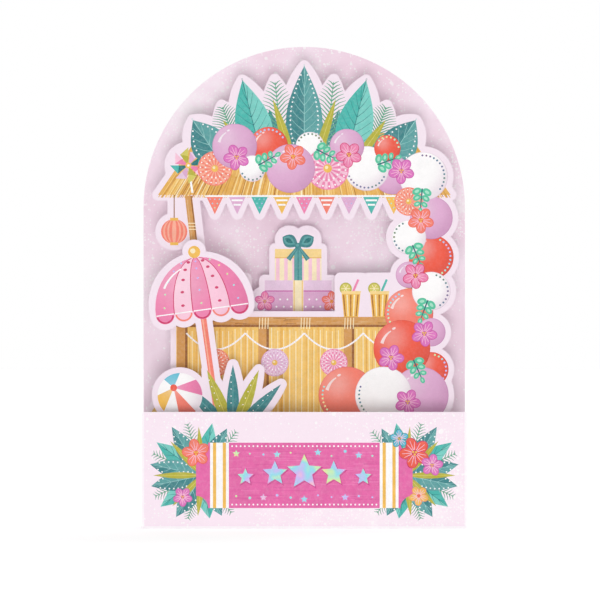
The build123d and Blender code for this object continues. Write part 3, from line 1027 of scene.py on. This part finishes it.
def draw_gore(art, i):
    """One gore of the canopy with its hem, by turns with foil dots and with ovals down its middle."""
    left, right = seam(i), seam(i + 1)
    middle = (left + right) / 2
    hem = along_arc(middle, PARASOL_RIM, SCALLOP_RADIUS, 180, 360, 10)
    gore = parasol_rib(left) + hem[1:-1] + parasol_rib(right)[:0:-1]
    centre = tilted([(0, CANOPY_MIDDLE)])[0]
    art.add(tilted(gore), PINK_PALE if i % 2 else PINK, "balloon", centre, CANOPY_RADIUS)
    for x, z in parasol_rib(middle)[3:RIB_STEPS:2]:
        if i % 2:
            art.add(tilted(oval(x, z, 0.9, 0.65, 0, 12)), PINK_DEEP)
        else:
            art.dots(tilted([(x, z)]), 0.5, WHITE, "foil")
    inner_hem = along_arc(middle, PARASOL_RIM, SCALLOP_RADIUS * 0.86, 190, 350, 10)
    art.line(tilted(inner_hem), CORAL if i % 2 else PINK_DEEP, 0.8)
    art.line(tilted([(left + 0.3, PARASOL_RIM), (right - 0.3, PARASOL_RIM)]), WHITE, 0.55)


def draw_parasol(art):
    """A parasol of gores in two tones with a scalloped hem, on a leaning pole."""
    for left, right, tone in ((-0.5, 0.5, CORAL), (-0.28, -0.05, PEACH)):
        art.add(tilted(block(PARASOL_POLE * left, PARASOL_POLE * right, POLE_FOOT, PARASOL_RIM)), tone)
    for i in range(PARASOL_SCALLOPS):
        draw_gore(art, i)
    for i in range(1, PARASOL_SCALLOPS):
        art.line(tilted(parasol_rib(seam(i))[1:]), PINK_DEEP, 0.3, 0.45)
    art.line(tilted(along_arc(0, PARASOL_RIM + 3.0, PARASOL_HALF * 0.86, 112, 150, 8)), WHITE, 0.5, 1.1)
    art.add(tilted(circle(0, PARASOL_APEX + FINIAL_RADIUS * 0.9, FINIAL_RADIUS, 24)), GOLD)
    art.add(tilted(circle(-0.6, PARASOL_APEX + FINIAL_RADIUS * 1.1, FINIAL_RADIUS * 0.42, 14)), CREAM)


def draw_grass(art):
    """Blades of grass fanned out from the foot of the parasol, with dots along them."""
    foot = (PARASOL_FOOT_X, GRASS_FOOT)
    for i in range(GRASS_BLADES):
        tip = around(*foot, GRASS_LENGTH, 90 - GRASS_SPREAD * (2 * i / (GRASS_BLADES - 1) - 1))
        draw_slim_leaf(art, foot, tip, GRASS_WIDTH, *((TEAL, TEAL_PALE), (OLIVE, OLIVE_PALE))[i % 2])
        art.dots([Axis(foot, tip).at(0.45 + 0.1 * k, 0.9) for k in range(5)], 0.3)


def draw_ball(art):
    """A ball of stripes that meet at a cap."""
    cap = (BALL_X - BALL_RADIUS * 0.28, BALL_HEIGHT + BALL_RADIUS * 0.34)
    turn = 360 / len(BALL_TONES)
    for i, tone in enumerate(BALL_TONES):
        rim = along_arc(BALL_X, BALL_HEIGHT, BALL_RADIUS, turn * i, turn * (i + 1), 6)
        art.add([cap] + rim, tone, "balloon", (BALL_X, BALL_HEIGHT), BALL_RADIUS)
    art.disc(*cap, 1.7, CORAL_DEEP, 16)


def parasol_artwork():
    art = Artwork(BARE_CARD)
    draw_parasol(art)
    draw_grass(art)
    draw_ball(art)
    return art


# Front panel: a plaque with an arch of stars, between two bunches of leaves
PALE_EDGE = 1.1
PLAQUE_HALF = 53.0
PLAQUE_FOOT = 10.0
PLAQUE_TOP = 42.0
PLAQUE_MIDDLE = (PLAQUE_FOOT + PLAQUE_TOP) / 2
PLAQUE_SCOOP = 6.0
PLAQUE_STROKES = 90
BAND_X = 41.5
BAND_HALVES = (4.6, 3.2, 1.6)
BAND_TONES = (WHITE, GOLD, WHITE)
FIELD_HALF = BAND_X - BAND_HALVES[0] - 1.6
EDGE_DOTS = 35
EDGE_DOT_INSET = 1.7
CONFETTI = 11
CONFETTI_INSET = 5.4
STAR_ROW = (4.2, 6.2, 8.8, 6.2, 4.2)
STAR_PITCH = 14.4
STAR_RISE = 3.2
STAR_SHADE = 0.7

# The bunches' leaves, each with its direction away from the plaque's end and its length
BUNCH_FRONDS = ((128, 28), (74, 27), (24, 27), (-24, 26), (-72, 23), (-128, 24))
BUNCH_TURQUOISE = ((101, 26), (-100, 21.5), (36, 27.5), (-37, 25.5))
BUNCH_TEAL = ((58, 28), (-58, 24), (12, 26), (-12, 25.5), (118, 26), (-116, 22))
BUNCH_SLIM = ((86, 24), (-84, 20), (47, 23), (-46, 21), (0, 24))

# The flowers: side, distance past the plaque's end, height, radius, inks of petals, rims, heart, and turn
FRONT_FLOWERS = (
    (-1, 0.0, PLAQUE_TOP - 5.0, 6.6, (CORAL, CORAL_DEEP, GOLD), 30),
    (-1, 6.5, PLAQUE_FOOT + 5.5, 4.6, (ORCHID, MAGENTA, GOLD), 55),
    (1, 1.0, PLAQUE_TOP - 5.0, 7.4, (CORAL_DEEP, PINK_DEEP, GOLD), 40),
    (1, 9.5, PLAQUE_TOP - 11.0, 5.2, (ORCHID, MAGENTA, GOLD), 8),
    (1, -6.5, PLAQUE_TOP + 2.0, 4.4, (SKY, TURQUOISE_DEEP, GOLD), 22),
    (1, 3.0, PLAQUE_FOOT + 6.0, 4.6, (GOLD, CORAL, CORAL_DEEP), 50),
)


def draw_bunch(art, side):
    """Leaves, fronds and slim leaves fanned out behind one end of the plaque."""
    foot = (side * (PLAQUE_HALF - 3.0), PLAQUE_MIDDLE)

    def tips(leaves):
        return [around(*foot, length, turn if side > 0 else 180 - turn) for turn, length in leaves]

    for tip in tips(BUNCH_FRONDS):
        draw_frond(art, foot, tip, 9.0, 15, 0.5)
    for tip in tips(BUNCH_TURQUOISE):
        draw_leaf(art, foot, tip, 9.5, TURQUOISE_LEAF, 0.24)
    for tip in tips(BUNCH_TEAL):
        draw_leaf(art, foot, tip, 10.0, TEAL_LEAF, 0.22, dot=0.4)
    for tip in tips(BUNCH_SLIM):
        draw_slim_leaf(art, foot, tip, 3.2)


def draw_plaque(art, draw):
    """A long plaque with scooped corners, brushed along its length, with banded ends and dotted edges."""
    outline = []
    for x, z, start in ((PLAQUE_HALF, PLAQUE_FOOT, 180), (PLAQUE_HALF, PLAQUE_TOP, 270),
                        (-PLAQUE_HALF, PLAQUE_TOP, 0), (-PLAQUE_HALF, PLAQUE_FOOT, 90)):
        outline += along_arc(x, z, PLAQUE_SCOOP, start, start - 90, 8)
    art.add(outline, BANNER)
    reach = PLAQUE_HALF - PLAQUE_SCOOP
    for _ in range(PLAQUE_STROKES):
        length = draw.uniform(6.0, 22.0)
        x = draw.uniform(-reach, reach - length)
        z = draw.uniform(PLAQUE_FOOT + 0.8, PLAQUE_TOP - 0.8)
        line = [(x, z), (x + length / 2, z + draw.uniform(-0.2, 0.2)), (x + length, z)]
        width = draw.uniform(0.3, 0.8)
        art.line(line, draw.choice((BANNER_PALE, BANNER_SHADE)), width, 0.15)
    for x in (-BAND_X, BAND_X):
        for half, tone in zip(BAND_HALVES, BAND_TONES):
            art.block(x - half, x + half, PLAQUE_FOOT, PLAQUE_TOP, tone)
    for z in (PLAQUE_FOOT + EDGE_DOT_INSET, PLAQUE_TOP - EDGE_DOT_INSET):
        places = [-FIELD_HALF + 2 * FIELD_HALF * i / (EDGE_DOTS - 1) for i in range(EDGE_DOTS)]
        art.dots([(x, z) for x in places], 0.45)


def draw_stars(art, draw):
    """Foil confetti in two rows, with a gap over the middle star, and an arch of foil stars."""
    reach = FIELD_HALF - 2.0
    for row, z in enumerate((PLAQUE_TOP - CONFETTI_INSET, PLAQUE_FOOT + CONFETTI_INSET)):
        for i in range(CONFETTI):
            place = (-reach + 2 * reach * i / (CONFETTI - 1), z + draw.uniform(-1.2, 1.2))
            if row == 0 and i == CONFETTI // 2:
                continue
            if (i + row) % 3 == 0:
                art.add(star(*place, 1.9), WHITE, "foil")
            else:
                art.add(circle(*place, draw.uniform(0.45, 0.8), 10), WHITE, "foil")
    for i, radius in enumerate(STAR_ROW):
        x = (i - (len(STAR_ROW) - 1) / 2) * STAR_PITCH
        z = PLAQUE_MIDDLE - STAR_RISE / 2 + STAR_RISE * math.cos(x / FIELD_HALF * math.pi / 2)
        art.add(star(x + 0.35, z - 0.45, radius + STAR_SHADE), BANNER_DEEP)
        art.add(star(x, z, radius), WHITE, "foil")


def front_artwork():
    art = Artwork(BARE_EDGE)
    half = HALF_WIDTH - PALE_EDGE
    art.add(block(-half, half, PALE_EDGE, FRONT_HEIGHT - 0.2), BARE_FRONT, "bare")
    for side in (-1, 1):
        draw_bunch(art, side)
    draw = random.Random(3)
    draw_plaque(art, draw)
    draw_stars(art, draw)
    for side, past, z, radius, tones, turn in FRONT_FLOWERS:
        draw_flower(art, side * (PLAQUE_HALF + past), z, radius, *tones, turn=turn)
    return art


# Materials
TOOTH_DEPTH = 0.05 * MM

# Sizes of white flecks: cells per metre, share of the cells with a fleck, and its largest radius in a cell
FLECKS = ((1050.0, 0.46, 0.5), (520.0, 0.26, 0.4), (210.0, 0.13, 0.28))
FLECK_COVER = 0.66

# Round forms: place of the gleam in shares of the radius, and the tint of the shaded side
GLEAM_PLACE = (-0.34, 0.38, 0.0)
SHADE_TINT = (0.84, 0.76, 0.82)

FOIL_TINTS = (rgb(250, 222, 160), rgb(206, 240, 176), rgb(150, 222, 236), rgb(206, 186, 244),
              rgb(250, 196, 206))
FLOOR_SEEN = (0.95, 0.95, 0.95)
FLOOR_LIGHTING = (0.6, 0.6, 0.6)


class Nodes:
    """The nodes of a material or a world, with short calls to add and join them."""

    def __init__(self, owner, shader, output):
        self.owner = owner
        owner.use_nodes = True
        self.tree = owner.node_tree
        self.tree.nodes.clear()
        self.shader = self.add(shader)
        self.add(output, {"Surface": self.shader.outputs[0]})

    def add(self, kind, inputs=None, **settings):
        node = self.tree.nodes.new(kind)
        for key, value in settings.items():
            setattr(node, key, value)
        self.fill(node, inputs or {})
        return node

    def fill(self, node, inputs):
        """Sets a node's inputs to numbers or colours, or joins them to other nodes' outputs."""
        for name, value in inputs.items():
            socket = node.inputs[name]
            if isinstance(value, bpy.types.NodeSocket):
                self.tree.links.new(value, socket)
            elif isinstance(value, tuple):
                socket.default_value = (*value, 1.0)[:len(socket.default_value)]
            else:
                socket.default_value = value

    def place(self):
        return self.add("ShaderNodeTexCoord").outputs["Object"]

    def ink(self):
        return self.add("ShaderNodeAttribute", attribute_name="ink").outputs["Color"]

    def noise(self, scale, detail=3.0, roughness=0.55):
        """Noise with a scale in cycles per metre."""
        inputs = {"Vector": self.place(), "Scale": scale, "Detail": detail, "Roughness": roughness}
        return self.add("ShaderNodeTexNoise", inputs).outputs["Fac"]

    def remap(self, value, low, high, to_low, to_high, smooth=False):
        inputs = {"Value": value, "From Min": low, "From Max": high, "To Min": to_low, "To Max": to_high}
        kind = "SMOOTHSTEP" if smooth else "LINEAR"
        return self.add("ShaderNodeMapRange", inputs, interpolation_type=kind).outputs["Result"]

    def math(self, operation, first, second):
        return self.add("ShaderNodeMath", {0: first, 1: second}, operation=operation).outputs[0]

    def mix(self, factor, first, second, blend="MIX"):
        """A mix of two colours, whose sockets are the node's seventh and eighth."""
        inputs = {0: factor, 6: first, 7: second}
        return self.add("ShaderNodeMix", inputs, data_type="RGBA", blend_type=blend).outputs[2]

    def seen(self):
        """1 for what is seen, also in a reflection or through glass, and 0 for light thrown back."""
        path = self.add("ShaderNodeLightPath").outputs
        direct = self.math("MAXIMUM", path["Is Camera Ray"], path["Is Glossy Ray"])
        return self.math("MAXIMUM", direct, path["Is Transmission Ray"])

    def grain(self, strength):
        """Fine paper tooth on the surface."""
        inputs = {"Strength": strength, "Distance": TOOTH_DEPTH, "Height": self.noise(2400.0, 4.0)}
        self.fill(self.shader, {"Normal": self.add("ShaderNodeBump", inputs).outputs[0]})

    def mottled(self, colour, cloud, fibre):
        """The colour with the uneven, chalky laydown of hand-laid ink and a fine fibre."""
        soft = self.remap(self.noise(170.0, 5.0, 0.62), 0.25, 0.75, 1 - cloud, 1 + cloud * 0.6)
        chalk = self.remap(self.noise(620.0, 4.0, 0.7), 0.44, 0.8, 0.0, cloud * 1.1)
        fine = self.remap(self.noise(1500.0), 0.3, 0.7, 1 - fibre, 1 + fibre * 0.5)
        inputs = {0: colour, "Scale": self.math("MULTIPLY", soft, fine)}
        scaled = self.add("ShaderNodeVectorMath", inputs, operation="SCALE").outputs[0]
        return self.mix(chalk, scaled, WHITE)

    def spatter(self, colour, haze_strength):
        """White flecks of several sizes, thicker in some places than in others, and haze, over a colour."""
        place = self.add("ShaderNodeSeparateXYZ", {0: self.place()}).outputs
        on_sheet = self.add("ShaderNodeCombineXYZ", {"X": place["X"], "Y": place["Z"]}).outputs[0]
        thick = self.remap(self.noise(16.0, 2.0), 0.36, 0.66, 0.0, 1.0, smooth=True)
        cover = None
        for scale, share, size in FLECKS:
            inputs = {"Vector": on_sheet, "Scale": scale}
            cells = self.add("ShaderNodeTexVoronoi", inputs, voronoi_dimensions="2D").outputs
            pick = self.add("ShaderNodeSeparateColor", {0: cells["Color"]}).outputs
            limit = self.math("MULTIPLY", self.remap(thick, 0.0, 1.0, 0.1, 1.0), share)
            chosen = self.math("LESS_THAN", pick[0], limit)
            inside = self.math("LESS_THAN", cells["Distance"], self.math("MULTIPLY", pick[1], size))
            fleck = self.math("MULTIPLY", chosen, inside)
            cover = self.math("MAXIMUM", cover, fleck) if cover else fleck
        haze = self.remap(self.noise(42.0, 7.0, 0.68), 0.46, 0.74, 0.0, haze_strength, smooth=True)
        flecks = self.math("MULTIPLY", cover, FLECK_COVER)
        return self.mix(self.math("MAXIMUM", flecks, self.math("MULTIPLY", haze, thick)), colour, WHITE)

    def washed(self, pale, dark):
        """Two tones that run into each other like a wash of watercolour."""
        wash = self.remap(self.noise(20.0, 5.0, 0.58), 0.34, 0.64, 0.0, 1.0, smooth=True)
        return self.mix(wash, dark, pale)


def new_material(name):
    return Nodes(bpy.data.materials.new(name), "ShaderNodeBsdfPrincipled", "ShaderNodeOutputMaterial")


def finish_card(nodes, colour, tooth):
    """The common finish of printed and bare card."""
    roughness = nodes.remap(nodes.noise(420.0), 0.3, 0.7, 0.52, 0.68)
    nodes.fill(nodes.shader, {"Base Color": colour, "Roughness": roughness, "Specular IOR Level": 0.32})
    nodes.grain(tooth)
    return nodes.owner


def flat_ink():
    nodes = new_material("printed_ink")
    return finish_card(nodes, nodes.mottled(nodes.ink(), 0.1, 0.05), 0.16)


def bare_card():
    nodes = new_material("bare_card")
    return finish_card(nodes, nodes.mottled(nodes.ink(), 0.012, 0.012), 0.16)


def speckled_front():
    nodes = new_material("speckled_front")
    return finish_card(nodes, nodes.mottled(nodes.spatter(nodes.ink(), 0.5), 0.012, 0.012), 0.16)


def balloon_ink():
    """Ink shaded as a round form: darker towards the lower right of the rim, paler at the upper left."""
    nodes = new_material("balloon_ink")
    form = nodes.add("ShaderNodeAttribute", attribute_name="form").outputs["Vector"]
    inputs = {0: form, 1: GLEAM_PLACE}
    distance = nodes.add("ShaderNodeVectorMath", inputs, operation="DISTANCE").outputs["Value"]
    colour = nodes.ink()
    shade = nodes.mix(1.0, colour, SHADE_TINT, "MULTIPLY")
    colour = nodes.mix(nodes.remap(distance, 0.7, 1.5, 0.0, 1.0, smooth=True), colour, shade)
    colour = nodes.mix(nodes.remap(distance, 0.0, 0.8, 0.2, 0.0, smooth=True), colour, WHITE)
    return finish_card(nodes, nodes.mottled(colour, 0.05, 0.025), 0.12)


def foil():
    """Pastel holographic foil."""
    nodes = new_material("pastel_foil")
    hue = nodes.remap(nodes.noise(75.0, 2.0), 0.3, 0.7, 0.0, 1.0)
    ramp = nodes.add("ShaderNodeValToRGB", {0: hue})
    stops = ramp.color_ramp.elements
    while len(stops) < len(FOIL_TINTS):
        stops.new(0.5)
    for i, tint in enumerate(FOIL_TINTS):
        stops[i].position = i / (len(FOIL_TINTS) - 1)
        stops[i].color = (*tint, 1.0)
    tint = nodes.mix(1.0, ramp.outputs[0], nodes.ink(), "MULTIPLY")
    roughness = nodes.remap(nodes.noise(900.0), 0.3, 0.7, 0.15, 0.26)
    nodes.fill(nodes.shader, {"Base Color": tint, "Roughness": roughness, "Metallic": 0.5})
    nodes.grain(0.08)
    return nodes.owner


def back_board():
    """Board with a spattered wash on its front, and bare on its edges and rear."""
    nodes = new_material("back_board")
    normal = nodes.add("ShaderNodeNewGeometry").outputs["Normal"]
    facing = nodes.add("ShaderNodeSeparateXYZ", {0: normal}).outputs["Y"]
    front = nodes.math("LESS_THAN", facing, -0.5)
    face = nodes.spatter(nodes.washed(BARE_BACK, CLOUDED_BACK), 0.75)
    return finish_card(nodes, nodes.mottled(nodes.mix(front, CARD_CORE, face), 0.012, 0.012), 0.2)


def strip_paper():
    nodes = new_material("strip_paper")
    return finish_card(nodes, nodes.mottled(BARE_CARD, 0.02, 0.02), 0.2)


def floor_material():
    """A white floor, which throws less light back at the card than it shows."""
    nodes = new_material("pale_floor")
    colour = nodes.mix(nodes.seen(), FLOOR_LIGHTING, FLOOR_SEEN)
    nodes.fill(nodes.shader, {"Base Color": colour, "Roughness": 0.9, "Specular IOR Level": 0.0})
    return nodes.owner


# The card
printed_inks = {"flat": flat_ink(), "balloon": balloon_ink(), "foil": foil()}
layer_inks = {"bare": bare_card(), **printed_inks}
front_inks = {"bare": speckled_front(), **printed_inks}

printed_sheet("hut_sheet", "hut_layer", hut_artwork(), layer_inks)
printed_sheet("gift_sheet", "gift_layer", gift_artwork(), layer_inks)
printed_sheet("parasol_sheet", "parasol_layer", parasol_artwork(), layer_inks)
printed_sheet("front_sheet", "front_panel", front_artwork(), front_inks)


def dress(node, material):
    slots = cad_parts[node].data.materials
    slots.clear()
    slots.append(material)


dress("back_panel", back_board())
plain_strip = strip_paper()
for node in ("left_concertina", "right_concertina", "left_spacer", "right_spacer"):
    dress(node, plain_strip)


# Floor, light and camera, in metres
FLOOR_REACH = 8.0
AMBIENT = 0.36

# Lamps: direction of the light from the card, spread in degrees, strength, and whether gloss shows it.
# The key light comes from in front, a little below the floor's level. Gloss doesn't show it, so that
# the foil keeps its tints.
LAMPS = {
    "key": ((0.0, -1.0, -0.18), 22.0, 1.12, False),
    "left_fill": ((-0.7, -1.0, 0.4), 45.0, 0.28, True),
    "right_fill": ((0.7, -1.0, 0.4), 45.0, 0.28, True),
    "top": ((0.0, 0.0, 1.0), 12.0, 1.8, True),
    "rear": ((0.3, 1.0, 0.4), 50.0, 1.3, True),
}

# The camera looks straight at the card from the distance that gives the photograph's perspective.
IMAGE_PIXELS = 600
BACK_WIDTH_PIXELS = 321.4
SENSOR_MM = 36.0
CAMERA_TO_BACK = 3.611
VIEW_X = -2.1 * MM
VIEW_HEIGHT = 111.8 * MM


def add_floor():
    """The floor takes the card's shadow and casts none, so that it doesn't hold back the key light."""
    mesh = bpy.data.meshes.new("floor")
    corners = block(-FLOOR_REACH, FLOOR_REACH, -FLOOR_REACH, FLOOR_REACH)
    mesh.from_pydata([(x, y, 0) for x, y in corners], [], [(0, 1, 2, 3)])
    mesh.materials.append(floor_material())
    floor = add_object("floor", mesh)
    floor.visible_shadow = False


def add_world():
    """Even light from all round, seen as plain white."""
    nodes = Nodes(bpy.data.worlds.new("studio"), "ShaderNodeBackground", "ShaderNodeOutputWorld")
    strength = nodes.remap(nodes.seen(), 0.0, 1.0, AMBIENT, 1.0)
    nodes.fill(nodes.shader, {"Color": (1.0, 1.0, 1.0), "Strength": strength})
    bpy.context.scene.world = nodes.owner


def add_lamp(name, toward_light, spread, strength, glossy):
    """Soft light from far away."""
    sun = bpy.data.lights.new(name, "SUN")
    sun.angle = math.radians(spread)
    sun.energy = strength
    lamp = add_object(name, sun)
    lamp.rotation_euler = Vector(toward_light).to_track_quat("Z", "Y").to_euler()
    lamp.visible_glossy = glossy


def add_camera():
    data = bpy.data.cameras.new("camera")
    back_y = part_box("back_panel")[0].y
    seen_width = 2 * HALF_WIDTH * MM * IMAGE_PIXELS / BACK_WIDTH_PIXELS
    data.sensor_width = SENSOR_MM
    data.lens = SENSOR_MM * CAMERA_TO_BACK / seen_width
    data.clip_end = 50.0
    camera = add_object("camera", data)
    camera.location = (VIEW_X, back_y - CAMERA_TO_BACK, VIEW_HEIGHT)
    camera.rotation_euler = (math.pi / 2, 0.0, 0.0)
    bpy.context.scene.camera = camera


add_floor()
add_world()
for name, lamp in LAMPS.items():
    add_lamp(name, *lamp)
add_camera()
bpy.context.scene.view_settings.view_transform = "Standard"
